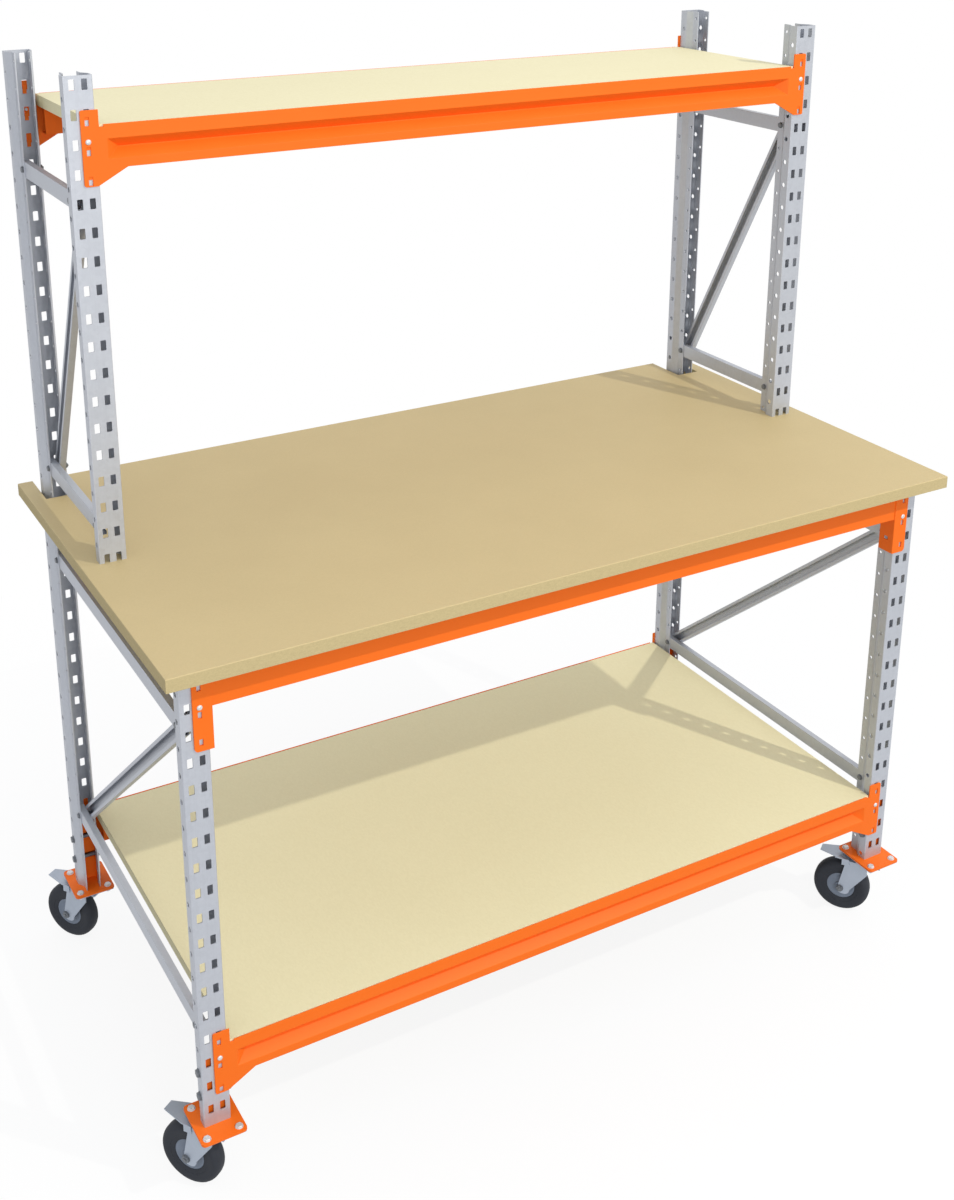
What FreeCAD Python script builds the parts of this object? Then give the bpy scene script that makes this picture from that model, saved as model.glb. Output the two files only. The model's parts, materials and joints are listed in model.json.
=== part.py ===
import FreeCAD, Part
import math
import os
import re
import Sketcher
from FreeCAD import Placement, Rotation, Vector

# Mobile workbench: slotted steel uprights carry a worktop and two shelves on hook-in beams,
# lipped channel braces stiffen the end frames, and four braked swivel casters carry it all.
# Millimetres, +Z up, +Y to the back, floor at Z = 0. The origin is the middle of the floor area
# that the bench covers with its casters trailing as drawn.

SIZES = {
    # Plan of the frame
    "bench_centre_x": 7.8,
    "bench_centre_y": -17.55,
    "frame_span": 1557,
    "frame_depth": 800,
    "upper_frame_depth": 400,
    # Roll-formed upright
    "upright_width": 50,
    "upright_depth": 52,
    "upright_sheet": 2,
    "upright_strip": 21,
    "upright_jog": 35,
    "upright_throat": 27,
    "upright_bend": 3,
    "tall_length": 1800,
    "low_top_gap": 2,
    "slot_width": 10,
    "slot_height": 18.5,
    "slot_spread": 21.68,
    "slot_pitch": 50,
    "first_slot": 35,
    "slot_edge": 4,
    "lip_hole_inset": 44,
    "strip_hole_inset": 13,
    # Levels, counted in slots above the lowest one, or down from the highest one
    "lower_shelf_slot": 3,
    "worktop_slot": 17,
    "upper_shelf_slots_down": 1,
    "lower_frame_bottom_slot": 3,
    "lower_frame_top_slot": 15,
    "upper_frame_bottom_slot": 19,
    "upper_frame_slots_down": 4,
    # Lipped channel braces
    "brace_height": 30,
    "brace_width": 13.4,
    "brace_sheet": 1.6,
    "brace_lip": 7,
    "brace_end": 16,
    "brace_gap": 0.1,
    # Boards
    "worktop_side_overhang": 34,
    "worktop_end_overhang": 50,
    "worktop_thickness": 25,
    "notch_clearance": 3.65,
    "board_chamfer": 1,
    "shelf_thickness": 22,
    "shelf_end_gap": 29.5,
    "shelf_gap": 0.5,
    # Sheet and hooks shared by all beams
    "beam_sheet": 2,
    "connector_sheet": 3,
    "hook_shift": 1.2,
    "hook_width": 7,
    "hook_sheet": 2.5,
    "hook_drop": 6.75,
    "hook_clearance": 0.2,
    "hook_seat": 0.1,
    # Shelf beams
    "shelf_beam_height": 74.5,
    "shelf_beam_depth": 30,
    "shelf_beam_drop": 17.5,
    "shelf_beam_gap": 37.1,
    "plate_overlap": 1.5,
    "plate_inner": 29.5,
    "plate_top": 25,
    "plate_bottom": 103.5,
    "plate_foot": 22,
    "plate_relief": 4,
    "gusset_reach": 75,
    "plate_corner": 4,
    "groove_top": 24.5,
    "groove_apex": 42,
    "groove_bottom": 59,
    "groove_depth": 20,
    "groove_flat": 1.2,
    "groove_gap": 42,
    "groove_run": 23.5,
    "shelf_window_drop": 11.5,
    "shelf_window_height": 15,
    "shelf_hook_height": 6.5,
    "shelf_pin_rise": 4.5,
    # Worktop beams
    "worktop_beam_height": 71,
    "worktop_beam_depth": 40,
    "worktop_beam_rise": 17,
    "worktop_beam_set_back": 1.5,
    "angle_overlap": 2.5,
    "angle_inner": 31.5,
    "angle_height": 148.5,
    "angle_leg": 39,
    "angle_corner": 7,
    "angle_tab_inset": 18,
    "angle_tab_drop": 119,
    "angle_tab_width": 12,
    "angle_tab_height": 8,
    "worktop_window_drop": 15,
    "worktop_window_height": 12,
    "worktop_hook_height": 4,
    "worktop_pin_drop": 0.8,
    # Feet
    "foot_plate_width": 85,
    "foot_plate_length": 105,
    "foot_plate_sheet": 4.5,
    "foot_plate_corner": 8,
    "foot_plate_offset": 14,
    "sleeve_height": 150,
    "sleeve_sheet": 2,
    "sleeve_inset": 7,
    "sleeve_leg": 12,
    "sleeve_clearance": 0.2,
    # Casters, heights counted down from the underside of the foot plate
    "caster_height": 152,
    "caster_trail": 52,
    "caster_turn": 124.8,
    "caster_plate_inset": 2.5,
    "caster_plate_sheet": 3,
    "race_radius": 31,
    "race_height": 11,
    "swivel_gap": 0.3,
    "kingpin_radius": 6,
    "kingpin_head_radius": 10,
    "kingpin_head": 4,
    "running_clearance": 0.05,
    "fork_sheet": 3,
    "fork_inner": 40,
    "fork_front": 32,
    "fork_neck": 5,
    "fork_back": 44,
    "fork_front_drop": 26.5,
    "fork_back_drop": 6.5,
    "fork_end_front": 21.5,
    "fork_end_back": 6,
    "fork_end_drop": 13,
    "fork_end_radius": 12,
    "wheel_diameter": 125,
    "tyre_width": 35,
    "tyre_bore_radius": 31,
    "tyre_seat": 0.05,
    "tyre_tread": 18,
    "tyre_shoulder": 9,
    "hub_radius": 12,
    "hub_end_gap": 0.5,
    "core_edge": 26,
    "axle_radius": 5,
    "axle_square": 7,
    "axle_head_flats": 13,
    "axle_head": 5,
    # Brake pedal
    "pedal_drop": 10,
    "pedal_sheet": 2,
    "pedal_root": 36,
    "pedal_shoulder": 56,
    "pedal_tip": 104,
    "pedal_tip_width": 22.4,
    "pedal_gap": 0.3,
    "pedal_cheek": 14,
    "pedal_cheek_run": 16,
    "pedal_pin_reach": 38,
    "pedal_pin_drop": 22,
    "pedal_pin_radius": 3,
    "shoe_start": 58,
    "shoe_end": 70,
    "shoe_width": 24,
    "shoe_drop": 9.5,
    # Fasteners
    "bolt_side": 6,
    "bolt_flats": 10,
    "bolt_head": 4,
    "bolt_nut": 5,
    "foot_bolt_side": 8,
    "foot_bolt_flats": 13,
    "foot_bolt_head": 5,
    "foot_bolt_nut": 6,
    "plate_bolt_side": 8,
    "plate_bolt_flats": 13,
    "plate_bolt_head": 4,
    "plate_bolt_nut": 5,
    "plate_bolt_span_x": 60,
    "plate_bolt_span_y": 80,
    "bolt_clearance": 0.2,
    "pin_radius": 2.4,
    "pin_head_radius": 5,
    "pin_head": 2.5,
    "pin_reach": 4,
}

doc = FreeCAD.newDocument("mobile_workbench")
sheet = doc.addObject("Spreadsheet::Sheet", "Sizes")
for row, (alias, number) in enumerate(SIZES.items(), start=1):
    sheet.set(f"A{row}", alias)
    sheet.set(f"B{row}", str(number))
    sheet.setAlias(f"B{row}", alias)
doc.recompute()

pieces = {}
along_y = Vector(0, 1, 0)
along_z = Vector(0, 0, 1)


def bound(text):
    """The text of a formula with each size's name pointing at its cell."""
    return re.sub(r"[a-z]\w+", lambda m: "Sizes." + m[0] if m[0] in SIZES else m[0], text)


def value(text):
    return float(sheet.evalExpression(bound(text)))


def new_body(label):
    body = doc.addObject("PartDesign::Body", label)
    body.Label = label
    return body


def origin(body, role):
    return next(f for f in body.Origin.OriginFeatures if f.Role == role)


def sketch(body, role, loops, offset=None):
    """A sketch of closed loops: each is a list of corner formulas, or a centre and a radius."""
    made = body.newObject("Sketcher::SketchObject", "outline")
    made.AttachmentSupport = [(origin(body, role), "")]
    made.MapMode = "FlatFace"
    if offset:
        made.setExpression("AttachmentOffset.Base.z", bound(offset))
    for loop in loops:
        first = made.GeometryCount
        rules = made.ConstraintCount
        if isinstance(loop, tuple):
            x, y, radius = loop
            centre = Vector(value(x), value(y), 0)
            made.addGeometry(Part.Circle(centre, Vector(0, 0, 1), value(radius)), False)
            made.addConstraint(Sketcher.Constraint("DistanceX", first, 3, centre.x))
            made.addConstraint(Sketcher.Constraint("DistanceY", first, 3, centre.y))
            made.addConstraint(Sketcher.Constraint("Radius", first, value(radius)))
            formulas = [x, y, radius]
        else:
            corners = [Vector(value(x), value(y), 0) for x, y in loop]
            count = len(corners)
            after = [(i + 1) % count for i in range(count)]
            made.addGeometry([Part.LineSegment(corners[i], corners[after[i]]) for i in range(count)], False)
            places = []
            for i, corner in enumerate(corners):
                places.append(Sketcher.Constraint("DistanceX", first + i, 1, corner.x))
                places.append(Sketcher.Constraint("DistanceY", first + i, 1, corner.y))
            made.addConstraint(places)
            made.addConstraint(
                [Sketcher.Constraint("Coincident", first + i, 2, first + after[i], 1) for i in range(count)]
            )
            formulas = [formula for corner in loop for formula in corner]
        for i, formula in enumerate(formulas):
            made.setExpression(f"Constraints[{rules + i}]", bound(formula))
    return made


def rectangle(left, low, right, high):
    return [(left, low), (right, low), (right, high), (left, high)]


def square(x, y, side):
    return rectangle(f"{x} - ({side})/2", f"{y} - ({side})/2", f"{x} + ({side})/2", f"{y} + ({side})/2")


def mirrored(loop):
    """The same loop on the other side of the middle plane."""
    return [(f"-({x})", y) for x, y in reversed(loop)]


def pad(body, profile, length, reverse=False, both=False):
    made = body.newObject("PartDesign::Pad", "pad")
    made.Profile = profile
    made.setExpression("Length", bound(length))
    made.Reversed = reverse
    made.SideType = "Symmetric" if both else "One side"
    doc.recompute()
    return made


def cut_through(body, profile):
    made = body.newObject("PartDesign::Pocket", "cut")
    made.Profile = profile
    made.Type = "ThroughAll"
    made.SideType = "Symmetric"
    doc.recompute()
    return made


def revolve(body, profile, axis):
    made = body.newObject("PartDesign::Revolution", "turned")
    made.Profile = profile
    made.ReferenceAxis = (origin(body, axis), [""])
    made.Angle = 360
    doc.recompute()
    return made


def edges_along(base, axis, chosen):
    """Names of the edges along an axis (or any way) whose ends both pass the test."""
    names = []
    for i, edge in enumerate(base.Shape.Edges, start=1):
        ends = [v.Point for v in edge.Vertexes]
        if len(ends) == 2 and all(chosen(p) for p in ends):
            run = ends[1] - ends[0]
            if axis is None or abs(run.dot(axis)) > 0.999 * run.Length:
                names.append(f"Edge{i}")
    return names


def round_edges(body, radius, axis, chosen):
    base = body.Tip
    made = body.newObject("PartDesign::Fillet", "rounding")
    made.Base = (base, edges_along(base, axis, chosen))
    made.setExpression("Radius", bound(radius))
    doc.recompute()
    return made


def near(a, formula):
    return abs(a - value(formula)) < 1e-4


def at(x, y, z, turn=0):
    return Placement(Vector(x, y, z), Rotation(Vector(0, 0, 1), turn))


def keep(label, made, placement):
    made.Label = label
    made.Placement = placement
    pieces[label] = made


def repeat(label, source, placement):
    """Another piece of the same make, in its own place."""
    link = doc.addObject("App::Link", label)
    link.LinkedObject = source
    keep(label, link, placement)


def group(label, kinds):
    """Small pieces kept together as separate solids: each kind's source and its places."""
    doc.recompute()
    copies = []
    for source, placements in kinds:
        for placement in placements:
            copy = source.Shape.copy()
            copy.Placement = placement
            copies.append(copy)
    made = doc.addObject("Part::Feature", label)
    made.Shape = Part.makeCompound(copies)
    pieces[label] = made


# Places that several pieces share
centre_x = value("bench_centre_x")
half_span = value("frame_span/2")
front_web = value("bench_centre_y - frame_depth/2")
rear_web = value("bench_centre_y + frame_depth/2")
upper_front_web = value("bench_centre_y + frame_depth/2 - upper_frame_depth")
foot_level = value("caster_height + foot_plate_sheet")
worktop_under = "(first_slot + worktop_slot*slot_pitch + worktop_beam_rise)"
worktop_over = f"({worktop_under} + worktop_thickness)"
worktop_width = "(frame_span + upright_width + 2*worktop_side_overhang)"
worktop_depth = "(frame_depth + 2*worktop_end_overhang)"
highest_slot = "floor((tall_length - first_slot - slot_height/2 - slot_edge) / slot_pitch)"
upper_shelf_slot = f"({highest_slot} - upper_shelf_slots_down)"
upper_frame_top_slot = f"({highest_slot} - upper_frame_slots_down)"
sides = {"left": centre_x - half_span, "right": centre_x + half_span}
bolt_hole = "bolt_side + 2*bolt_clearance"
slanted_hole = "bolt_side*sqrt(2) + 2*bolt_clearance"
foot_bolt_hole = "foot_bolt_side + 2*bolt_clearance"
plate_bolt_hole = "plate_bolt_side + 2*bolt_clearance"


def slot_level(slot):
    return foot_level + value(f"first_slot + {slot}*slot_pitch")


# Uprights: one bent strip with a wide front and a narrow throat. Two columns of slots take the
# beam hooks, holes in the lips take the brace bolts and holes near the web the foot bolts.
def upright(label, length, first, rise, bolted_slots, foot_levels):
    body = new_body(label)
    inset = "(upright_width/2 - upright_throat/2 - upright_sheet)"
    mitre = f"upright_sheet * tan(atan({inset} / (upright_jog - upright_strip)) / 2)"
    half = [
        ("upright_width/2", "0"),
        ("upright_width/2", "upright_strip"),
        ("upright_throat/2 + upright_sheet", "upright_jog"),
        ("upright_throat/2 + upright_sheet", "upright_depth"),
        ("upright_throat/2", "upright_depth"),
        ("upright_throat/2", f"upright_jog - {mitre}"),
        ("upright_width/2 - upright_sheet", f"upright_strip - {mitre}"),
        ("upright_width/2 - upright_sheet", "upright_sheet"),
    ]
    pad(body, sketch(body, "XY_Plane", [half + mirrored(half)]), length)
    outer = "upright_width/2"
    inner = "upright_width/2 - upright_sheet"
    round_edges(body, "upright_bend", along_z, lambda p: near(abs(p.x), outer) and near(p.y, "0"))
    round_edges(
        body,
        "upright_bend - upright_sheet",
        along_z,
        lambda p: near(abs(p.x), inner) and near(p.y, "upright_sheet"),
    )
    slot = rectangle(
        "slot_spread/2 - slot_width/2",
        f"{first} - slot_height/2",
        "slot_spread/2 + slot_width/2",
        f"{first} + slot_height/2",
    )
    cut = body.newObject("PartDesign::Pocket", "slots")
    cut.Profile = sketch(body, "XZ_Plane", [slot, mirrored(slot)])
    cut.setExpression("Length", bound("2*upright_sheet"))
    rows = f"(floor(({length} - ({first}) - slot_height/2 - slot_edge) / slot_pitch) + 1)"
    column = body.newObject("PartDesign::LinearPattern", "slot_columns")
    column.Originals = [cut]
    column.Direction = (origin(body, "Z_Axis"), [""])
    column.setExpression("Length", bound(f"slot_pitch * ({rows} - 1)"))
    column.setExpression("Occurrences", bound(rows))
    body.Tip = column
    doc.recompute()
    levels = [f"first_slot + {slot}*slot_pitch - {rise}" for slot in bolted_slots]
    holes = [square("lip_hole_inset", z, bolt_hole) for z in levels]
    holes += [square("strip_hole_inset", z, foot_bolt_hole) for z in foot_levels]
    cut_through(body, sketch(body, "YZ_Plane", holes))
    return body


foot_levels = [f"(first_slot + {row}*slot_pitch)" for row in ("0.5", "1.5")]
lower_slots = ["lower_frame_bottom_slot", "lower_frame_top_slot"]
upper_slots = ["upper_frame_bottom_slot", upper_frame_top_slot]
slots_below = math.ceil(value(f"({worktop_over} - first_slot) / slot_pitch"))
upper_first = f"first_slot + {slots_below}*slot_pitch - {worktop_over}"

tall = upright("rear_upright_left", "tall_length", "first_slot", "0", lower_slots + upper_slots, foot_levels)
low_length = f"({worktop_under} - low_top_gap)"
low = upright("lower_front_upright_left", low_length, "first_slot", "0", lower_slots, foot_levels)
upper = upright(
    "upper_front_upright_left", f"(tall_length - {worktop_over})", upper_first, worktop_over, upper_slots, []
)
upper_foot = foot_level + value(worktop_over)
keep("rear_upright_left", tall, at(sides["left"], rear_web, foot_level, 180))
repeat("rear_upright_right", tall, at(sides["right"], rear_web, foot_level, 180))
keep("lower_front_upright_left", low, at(sides["left"], front_web, foot_level))
repeat("lower_front_upright_right", low, at(sides["right"], front_web, foot_level))
keep("upper_front_upright_left", upper, at(sides["left"], upper_front_web, upper_foot))
repeat("upper_front_upright_right", upper, at(sides["right"], upper_front_web, upper_foot))


# Braces: lipped channels that lie side by side in the throat of the uprights. The rails show
# their back to the left, the diagonals open to the left, and each bolt clamps both.
def brace(label, bolt_distance, hole):
    body = new_body(label)
    half = [
        ("0", "brace_height/2 - brace_lip"),
        ("brace_sheet", "brace_height/2 - brace_lip"),
        ("brace_sheet", "brace_height/2 - brace_sheet"),
        ("brace_width - brace_sheet", "brace_height/2 - brace_sheet"),
    ]
    outer = [("brace_width", "-brace_height/2"), ("brace_width", "brace_height/2"), ("0", "brace_height/2")]
    below = [(x, f"-({z})") for x, z in reversed(half)]
    section = [("0", "-brace_height/2")] + outer + half + below
    length = f"({bolt_distance} + 2*brace_end)"
    pad(body, sketch(body, "XZ_Plane", [section]), length, reverse=True)
    ends = ["brace_end", f"{bolt_distance} + brace_end"]
    cut_through(body, sketch(body, "YZ_Plane", [square(y, "0", hole) for y in ends]))
    return body


# Each frame: the rail's length between bolts, its front web, and its bottom and top slots.
frames = {
    "lower": ("(frame_depth - 2*lip_hole_inset)", front_web, lower_slots),
    "upper": ("(upper_frame_depth - 2*lip_hole_inset)", upper_front_web, upper_slots),
}
bolt_places = []
for name, (run, web, (bottom_slot, top_slot)) in frames.items():
    rise = f"(({top_slot} - {bottom_slot}) * slot_pitch)"
    slope = math.degrees(math.atan2(value(rise), value(run)))
    front_bolt = web + value("lip_hole_inset")
    rear_bolt = rear_web - value("lip_hole_inset")
    rail = brace(f"{name}_left_top_rail", run, bolt_hole)
    diagonal = brace(f"{name}_left_diagonal", f"sqrt({run}^2 + {rise}^2)", slanted_hole)
    end = value("brace_end")
    for side, x in sides.items():
        for level, slot in (("bottom", bottom_slot), ("top", top_slot)):
            label = f"{name}_{side}_{level}_rail"
            z = slot_level(slot)
            place = at(x - value("brace_gap/2"), rear_bolt + end, z, 180)
            if label == rail.Label:
                keep(label, rail, place)
            else:
                repeat(label, rail, place)
            bolt_places += [(x, front_bolt, z), (x, rear_bolt, z)]
        tilt = Rotation(Vector(1, 0, 0), 180 - slope)
        along = tilt.multVec(Vector(0, end, 0))
        start = Vector(x + value("brace_gap/2"), rear_bolt, slot_level(bottom_slot)) - along
        label = f"{name}_{side}_diagonal"
        if label == diagonal.Label:
            keep(label, diagonal, Placement(start, tilt))
        else:
            repeat(label, diagonal, Placement(start, tilt))


# Worktop: one board, notched at the back edge so that the rear uprights can pass.
worktop = new_body("worktop")
notch_in = "frame_span/2 - upright_width/2 - notch_clearance"
notch_out = "frame_span/2 + upright_width/2 + notch_clearance"
notch_start = "frame_depth + worktop_end_overhang - upright_depth - notch_clearance"
half_board = [
    (f"{worktop_width}/2", "0"),
    (f"{worktop_width}/2", worktop_depth),
    (notch_out, worktop_depth),
    (notch_out, notch_start),
    (notch_in, notch_start),
    (notch_in, worktop_depth),
]
pad(worktop, sketch(worktop, "XY_Plane", [half_board + mirrored(half_board)]), "worktop_thickness")
slab = worktop.Tip
eased = worktop.newObject("PartDesign::Chamfer", "eased_edge")
eased.Base = (slab, edges_along(slab, None, lambda p: near(p.z, "worktop_thickness")))
eased.setExpression("Size", bound("board_chamfer"))
worktop_front = value(f"bench_centre_y - {worktop_depth}/2")
keep("worktop", worktop, at(centre_x, worktop_front, foot_level + value(worktop_under)))


# Beam parts: tongues bent in from the connector, each through a slot and down behind the web.
hook_x = "(frame_span/2 - slot_spread/2 + hook_shift)"


def hooks(body, top_slot, height):
    loops = []
    for row in range(3):
        slot = f"{top_slot} - {row}*slot_pitch"
        seat = f"{slot} - slot_height/2 + hook_seat"
        behind = "upright_sheet + hook_clearance"
        loops.append(
            [
                ("-connector_sheet/2", seat),
                (behind, seat),
                (behind, f"{slot} - slot_height/2 - hook_drop"),
                (f"{behind} + hook_sheet", f"{slot} - slot_height/2 - hook_drop"),
                (f"{behind} + hook_sheet", f"{seat} + {height}"),
                ("-connector_sheet/2", f"{seat} + {height}"),
            ]
        )
    for offset in (hook_x, f"-{hook_x}"):
        pad(body, sketch(body, "YZ_Plane", loops, offset), "hook_width", both=True)


def windows(body, top_slot, drop, height, pin_level):
    """The openings that the tongues leave, and the square hole of the lock pin."""
    loops = []
    for row in range(3):
        middle = f"({top_slot} - {row}*slot_pitch - {drop})"
        loop = rectangle(
            f"{hook_x} - hook_width/2",
            f"{middle} - {height}/2",
            f"{hook_x} + hook_width/2",
            f"{middle} + {height}/2",
        )
        loops += [loop, mirrored(loop)]
    hole = square(hook_x, pin_level, "2*pin_radius + 2*bolt_clearance")
    loops += [hole, mirrored(hole)]
    cut_through(body, sketch(body, "XZ_Plane", loops))


# Shelf beams: a stepped tube whose front wall stands up as a lip in front of the board. A long
# V groove is pressed into the front wall, and flat connectors with gussets are welded on.
shelf_beam = new_body("lower_shelf_beam_front")
face = "-connector_sheet"
face_back = "(beam_sheet - connector_sheet)"
tube_back = "(shelf_beam_depth - connector_sheet)"
step = [
    (face, "-shelf_beam_height"),
    (tube_back, "-shelf_beam_height"),
    (tube_back, "-shelf_thickness"),
    (face_back, "-shelf_thickness"),
    (face_back, "0"),
    (face, "0"),
]
hollow = rectangle(
    face_back,
    "beam_sheet - shelf_beam_height",
    f"{tube_back} - beam_sheet",
    "-shelf_thickness - beam_sheet",
)
beam_end = "(frame_span/2 - shelf_beam_gap)"
pad(shelf_beam, sketch(shelf_beam, "YZ_Plane", [step, hollow]), f"2*{beam_end}", both=True)
plate = [
    ("frame_span/2 + plate_overlap", "plate_top"),
    ("frame_span/2 - plate_inner", "plate_top"),
    ("frame_span/2 - plate_inner", "-plate_relief"),
    (f"{beam_end} - connector_sheet", "-plate_relief"),
    (f"{beam_end} - connector_sheet", "beam_sheet - shelf_beam_height"),
    ("frame_span/2 - gusset_reach", "beam_sheet - shelf_beam_height"),
    ("frame_span/2 - gusset_reach", "-shelf_beam_height"),
    ("frame_span/2 - plate_foot", "-plate_bottom"),
    ("frame_span/2 + plate_overlap", "-plate_bottom"),
]
pad(shelf_beam, sketch(shelf_beam, "XZ_Plane", [plate, mirrored(plate)]), "connector_sheet")
round_edges(
    shelf_beam,
    "plate_corner",
    along_y,
    lambda p: near(abs(p.x), "frame_span/2 + plate_overlap"),
)
groove_end = "(frame_span/2 - groove_gap)"


def flare(fall):
    """How far a pressed wall of the sheet's thickness reaches past the groove's edge."""
    return f"beam_sheet*sqrt(1 + (({fall})/groove_depth)^2)"


def pressed(kind, end_grow, top_grow, bottom_grow, flat_grow, extra):
    """A long trough from the front wall to its narrow floor."""
    mouth = rectangle(
        f"-{groove_end} - {end_grow}",
        f"-groove_bottom - {bottom_grow}",
        f"{groove_end} + {end_grow}",
        f"-groove_top + {top_grow}",
    )
    floor = rectangle(
        f"groove_run - {groove_end} - {flat_grow}",
        f"-groove_apex - groove_flat/2 - {flat_grow}",
        f"{groove_end} - groove_run + {flat_grow}",
        f"-groove_apex + groove_flat/2 + {flat_grow}",
    )
    made = shelf_beam.newObject(kind, "groove")
    made.Profile = sketch(shelf_beam, "XZ_Plane", [mouth], "connector_sheet")
    made.Sections = [sketch(shelf_beam, "XZ_Plane", [floor], f"connector_sheet - groove_depth - {extra}")]
    made.Ruled = True
    doc.recompute()


pressed(
    "PartDesign::AdditiveLoft",
    flare("groove_run"),
    flare("groove_apex - groove_top"),
    flare("groove_bottom - groove_apex"),
    "beam_sheet/2",
    "beam_sheet",
)
pressed("PartDesign::SubtractiveLoft", "0", "0", "0", "0", "0")
shelf_pin = "shelf_beam_drop - slot_pitch + shelf_pin_rise"
windows(shelf_beam, "shelf_beam_drop", "shelf_window_drop", "shelf_window_height", shelf_pin)
hooks(shelf_beam, "shelf_beam_drop", "shelf_hook_height")

lower_beam_top = slot_level("lower_shelf_slot") - value("shelf_beam_drop")
upper_beam_top = slot_level(upper_shelf_slot) - value("shelf_beam_drop")
keep("lower_shelf_beam_front", shelf_beam, at(centre_x, front_web, lower_beam_top))
repeat("lower_shelf_beam_rear", shelf_beam, at(centre_x, rear_web, lower_beam_top, 180))
repeat("upper_shelf_beam_front", shelf_beam, at(centre_x, upper_front_web, upper_beam_top))
repeat("upper_shelf_beam_rear", shelf_beam, at(centre_x, rear_web, upper_beam_top, 180))


# Shelf boards: they lie on the steps of the beams, behind the lips.
def shelf(label, run, web, top):
    board = doc.addObject("Part::Box", label)
    board.setExpression("Length", bound("frame_span - 2*shelf_end_gap"))
    board.setExpression("Width", bound(f"{run} - 2*shelf_gap"))
    board.setExpression("Height", bound("shelf_thickness"))
    left = centre_x - value("frame_span/2 - shelf_end_gap")
    front = web + value("shelf_gap")
    keep(label, board, at(left, front, top - value("shelf_thickness")))


shelf("lower_shelf", "frame_depth", front_web, lower_beam_top)
shelf("upper_shelf", "upper_frame_depth", upper_front_web, upper_beam_top)


# Worktop beams: box tubes under the board, with an angle at each end that lies on the web of
# the upright and runs back along its side.
worktop_beam = new_body("worktop_beam_front")
box_back = "(worktop_beam_depth - connector_sheet)"
box_front = f"({face} + worktop_beam_set_back)"
box = rectangle(box_front, "-worktop_beam_height", box_back, "0")
bore = rectangle(
    f"{box_front} + beam_sheet",
    "beam_sheet - worktop_beam_height",
    f"{box_back} - beam_sheet",
    "-beam_sheet",
)
angle_start = "(frame_span/2 - angle_inner)"
pad(worktop_beam, sketch(worktop_beam, "YZ_Plane", [box, bore]), f"2*{angle_start}", both=True)
angle = [
    (angle_start, face),
    ("frame_span/2 + angle_overlap", face),
    ("frame_span/2 + angle_overlap", "0"),
    (f"{angle_start} + connector_sheet", "0"),
    (f"{angle_start} + connector_sheet", "angle_leg - connector_sheet"),
    (angle_start, "angle_leg - connector_sheet"),
]
pad(worktop_beam, sketch(worktop_beam, "XY_Plane", [angle, mirrored(angle)]), "angle_height", reverse=True)
round_edges(
    worktop_beam,
    "angle_corner",
    along_y,
    lambda p: near(abs(p.x), "frame_span/2 + angle_overlap") and near(p.z, "-angle_height"),
)
tab = rectangle(
    "angle_tab_inset - angle_tab_width/2",
    "-angle_tab_drop - angle_tab_height/2",
    "angle_tab_inset + angle_tab_width/2",
    "-angle_tab_drop + angle_tab_height/2",
)
cut_through(worktop_beam, sketch(worktop_beam, "YZ_Plane", [tab]))
worktop_pin = "-worktop_beam_rise - slot_pitch - worktop_pin_drop"
windows(worktop_beam, "-worktop_beam_rise", "worktop_window_drop", "worktop_window_height", worktop_pin)
hooks(worktop_beam, "-worktop_beam_rise", "worktop_hook_height")
worktop_beam_top = foot_level + value(worktop_under)
keep("worktop_beam_front", worktop_beam, at(centre_x, front_web, worktop_beam_top))
repeat("worktop_beam_rear", worktop_beam, at(centre_x, rear_web, worktop_beam_top, 180))


# Feet: a base plate with a channel that reaches up inside the upright and is bolted across it.
foot = new_body("caster_foot_front_left")
plate_bolts = [
    (f"{sx}*plate_bolt_span_x/2", f"{sy}*plate_bolt_span_y/2") for sx in (-1, 1) for sy in (-1, 1)
]
base = rectangle(
    "-foot_plate_width/2",
    "foot_plate_offset - foot_plate_length/2",
    "foot_plate_width/2",
    "foot_plate_offset + foot_plate_length/2",
)
holes = [square(x, f"(foot_plate_offset + {y})", plate_bolt_hole) for x, y in plate_bolts]
pad(foot, sketch(foot, "XY_Plane", [base] + holes), "foot_plate_sheet", reverse=True)
round_edges(
    foot,
    "foot_plate_corner",
    along_z,
    lambda p: near(abs(p.x), "foot_plate_width/2"),
)
sleeve_half = "upright_width/2 - upright_sheet - sleeve_clearance"
half_sleeve = [
    (sleeve_half, "sleeve_inset"),
    (sleeve_half, "sleeve_inset + sleeve_leg"),
    (f"{sleeve_half} - sleeve_sheet", "sleeve_inset + sleeve_leg"),
    (f"{sleeve_half} - sleeve_sheet", "sleeve_inset + sleeve_sheet"),
]
pad(foot, sketch(foot, "XY_Plane", [half_sleeve + mirrored(half_sleeve)]), "sleeve_height")
sleeve_holes = [square("strip_hole_inset", z, foot_bolt_hole) for z in foot_levels]
cut_through(foot, sketch(foot, "YZ_Plane", sleeve_holes))

corners = {}
for side, x in sides.items():
    corners[f"front_{side}"] = (x, front_web, 0)
    corners[f"rear_{side}"] = (x, rear_web, 180)
casters = {}
foot_bolt_places = []
for corner, (x, y, turn) in corners.items():
    label = f"caster_foot_{corner}"
    if label == foot.Label:
        keep(label, foot, at(x, y, foot_level, turn))
    else:
        repeat(label, foot, at(x, y, foot_level, turn))
    inward = 1 if turn == 0 else -1
    casters[corner] = Vector(x, y + inward * value("foot_plate_offset"), value("caster_height"))
    strip = y + inward * value("strip_hole_inset")
    foot_bolt_places += [(x, strip, foot_level + value(z)) for z in foot_levels]


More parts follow.
